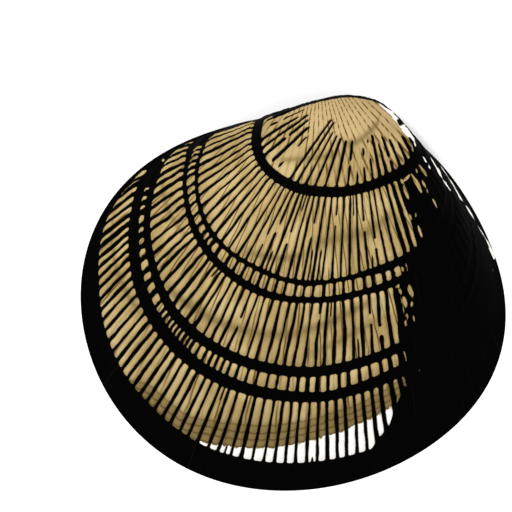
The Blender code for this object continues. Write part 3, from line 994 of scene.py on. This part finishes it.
def makeOutside(skinEdge, growthLines):
    made, tree, shader = newMaterial("ribbed outside")
    look = outsideFinish
    ring = named(tree, "ring", "Vector")
    age = named(tree, "age")
    spot = addNode(tree, "ShaderNodeTexCoord").outputs["Object"]
    edgeOf = place(tree, skinEdge, {
        "Rib": named(tree, "rib"), "Line Half": named(tree, "lineHalf"), "Spacing": named(tree, "spacing"),
        "To Edge": named(tree, "toEdge"), "Island": named(tree, "island")})
    lines = place(tree, growthLines, {"Ring": ring, "Rings": 260.0, "Waver": 3.0})

    # tan shell with soft clouds, fine radial grain and fine rings, and a peach umbo
    cloud = noise(spot, 160.0, 4.0)
    wornAndHighlit = blend(between(cloud, 0.3, 0.7), look["tanDark"], look["tan"])
    wornAndHighlit = blend(between(cloud, 0.45, 0.75, 0.0, 0.7), wornAndHighlit, look["tanLight"])
    grain = noise(stretched(ring, (60.0, 60.0, 5.0)), 1.0, 3.0)
    wornAndHighlit = blend(between(grain, 0.35, 0.65, 0.0, 0.3), wornAndHighlit, look["tanLight"])
    wornAndHighlit = blend(between(lines["Height"], 0.55, 0.75, 0.0, 0.3), wornAndHighlit, look["tanDark"])
    wornAndHighlit = blend(between(age, 0.75, 1.2, 0.0, 0.7), wornAndHighlit, look["peach"])

    # faint brown rays, closer together below the last band
    wander = calc("MULTIPLY_ADD", noise(spot, 220.0, 2.0), 0.8, named(tree, "ray"))
    near = thinLines(calc("DIVIDE", wander, look["rayApart"]), 0.05, 0.16)
    far = thinLines(calc("DIVIDE", wander, look["rayApartFar"]), 0.02, 0.10)
    older = between(age, 0.70, 0.76)
    ray = calc("ADD", calc("MULTIPLY", near, older),
               calc("MULTIPLY", far, calc("SUBTRACT", 1.0, older)))
    patches = noise(stretched(ring, (16.0, 16.0, 5.0)), 1.0, 2.0)
    broken = between(patches, 0.40, 0.56, 0.25, 1.0)
    wornAndHighlit = blend(calc("MULTIPLY", ray, broken), wornAndHighlit, look["ray"])

    # olive stains, the strongest one above the pale tips, with thin rings in it
    wornAndHighlit = blend(named(tree, "stain"), wornAndHighlit, look["olive"])
    above = calc("MULTIPLY_ADD", noise(spot, 260.0, 2.0), 0.7, named(tree, "abovePale"))
    olive = calc("MULTIPLY", between(above, 0.0, 0.5), between(above, 3.2, 5.2, 0.85, 0.0))
    wornAndHighlit = blend(olive, wornAndHighlit, look["olive"])
    oliveLine = calc("MULTIPLY", thinLines(calc("MULTIPLY", above, 0.9), 0.07, 0.14), olive)
    wornAndHighlit = blend(calc("MULTIPLY", oliveLine, 0.75), wornAndHighlit, look["oliveLine"])
    # pale: chalky tips and shoulder, and painted highlights in the slits on the +X flank and by the beak
    fuzz = calc("MULTIPLY_ADD", noise(spot, 1500.0, 2.0), 2.0, -1.0)
    pale = calc("ADD", named(tree, "pale"), fuzz)
    wornAndHighlit = blend(between(pale, -0.1, 0.25), wornAndHighlit, look["pale"])
    wornAndHighlit = blend(between(edgeOf["Inside"], 0.0, 0.14, 0.35, 0.0), wornAndHighlit, look["skinThin"])

    # near-black: dark skin in the grooves, bands and margin, and painted shade over the +X flank and the
    # steep sides
    skin = blend(between(grain, 0.62, 0.85, 0.0, 0.25), look["skin"], look["skinThin"])
    feed(blend(edgeOf["Skin"], wornAndHighlit, skin), shader.inputs["Base Color"])
    rough = between(edgeOf["Skin"], 0.0, 1.0, look["tanRoughness"], look["skinRoughness"])
    feed(rough, shader.inputs["Roughness"])
    shader.inputs["Specular IOR Level"].default_value = look["specular"]

    height = calc("MULTIPLY_ADD", lines["Height"], 0.5, calc("MULTIPLY", grain, 0.6))
    height = calc("MULTIPLY_ADD", edgeOf["Skin"], -0.5, height)
    addBump(shader, height, look)
    return made


insideFinish = {
    "white": colour(240, 234, 222),
    "cream": colour(226, 210, 182),
    "scar": colour(228, 216, 196),
    "roughness": 0.28,
    "edgeRoughness": 0.4,
    "scarRoughness": 0.4,
    "bumpStrength": 0.3,
    "bumpHeight": 0.05,         # mm
}


def makeInside(growthLines, name, glossy):
    made, tree, shader = newMaterial(name)
    look = insideFinish
    ring = named(tree, "ring", "Vector")
    spot = addNode(tree, "ShaderNodeTexCoord").outputs["Object"]
    lines = place(tree, growthLines, {"Ring": ring, "Rings": 60.0, "Waver": 2.0})
    cloud = noise(spot, 60.0, 4.0)
    base = blend(between(cloud, 0.4, 0.75, 0.0, 0.7), look["white"], look["cream"])
    base = blend(between(lines["Height"], 0.5, 0.8, 0.0, 0.25), base, look["cream"])
    base = blend(calc("MULTIPLY", named(tree, "scar"), 0.8), base, look["scar"])
    feed(base, shader.inputs["Base Color"])
    rough = between(named(tree, "scar"), 0.0, 1.0, glossy, look["scarRoughness"])
    feed(rough, shader.inputs["Roughness"])
    addBump(shader, lines["Height"], look)
    return made


valve = buildShell()
skinEdge, growthLines = makeSkinAndShadeEdge(), makeGrowthLines()
valve.data.materials.append(makeOutside(skinEdge, growthLines))
valve.data.materials.append(makeInside(growthLines, "flat edge", insideFinish["edgeRoughness"]))
valve.data.materials.append(makeInside(growthLines, "porcelain inside", insideFinish["roughness"]))
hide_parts("valve")
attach(valve, "root")
print("finishes made")

# Floor, lights and the camera. Lengths are in mm.
stage = {
    "floorSize": 3000,
    "viewMiddle": (-6.76, 5.23),
    "viewWidth": 83.82,
    "viewTurn": 5,              # degrees about the line of sight
    "lens": 1200,
    "sensor": 36,
    # each light: its name, place, size and watts
    "lights": (("key", (-330, 300, 690), 350, 6.0), ("fill", (360, -220, 670), 600, 2.6)),
    "worldStrength": 0.37,
}


def makeFloor():
    bpy.ops.mesh.primitive_plane_add(size=stage["floorSize"] * mm)
    floor = bpy.context.object
    floor.name = "floor"
    made, _, shader = newMaterial("pale floor")
    shader.inputs["Base Color"].default_value = (0.96, 0.96, 0.955, 1)
    shader.inputs["Roughness"].default_value = 0.9
    shader.inputs["Specular IOR Level"].default_value = 0.1
    floor.data.materials.append(made)
    floor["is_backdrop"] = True


def addLight(name, place, size, power):
    data = bpy.data.lights.new(name, "AREA")
    data.shape = "DISK"
    data.size = size * mm
    data.energy = power
    light = bpy.data.objects.new(name, data)
    light.location = [value * mm for value in place]
    light.rotation_mode = "QUATERNION"
    light.rotation_quaternion = (-light.location).to_track_quat("-Z", "Y")
    bpy.context.scene.collection.objects.link(light)


def addCamera():
    data = bpy.data.cameras.new("camera")
    data.lens = stage["lens"]
    data.sensor_width = stage["sensor"]
    data.clip_start, data.clip_end = 0.01, 10
    camera = bpy.data.objects.new("camera", data)
    distance = stage["viewWidth"] * stage["lens"] / stage["sensor"]
    camera.location = [value * mm for value in (*stage["viewMiddle"], distance)]
    camera.rotation_euler = (0, 0, np.radians(stage["viewTurn"]))
    bpy.context.scene.collection.objects.link(camera)
    bpy.context.scene.camera = camera


makeFloor()
for light in stage["lights"]:
    addLight(*light)
world = bpy.data.worlds.new("studio")
world.use_nodes = True
world.node_tree.nodes["Background"].inputs["Color"].default_value = (1, 1, 1, 1)
world.node_tree.nodes["Background"].inputs["Strength"].default_value = stage["worldStrength"]
bpy.context.scene.world = world
bpy.context.scene.view_settings.view_transform = "Standard"
addCamera()
print("stage set")

{"cad": [list(corner) for corner in cadBox], "visual": [list(corner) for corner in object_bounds()]}
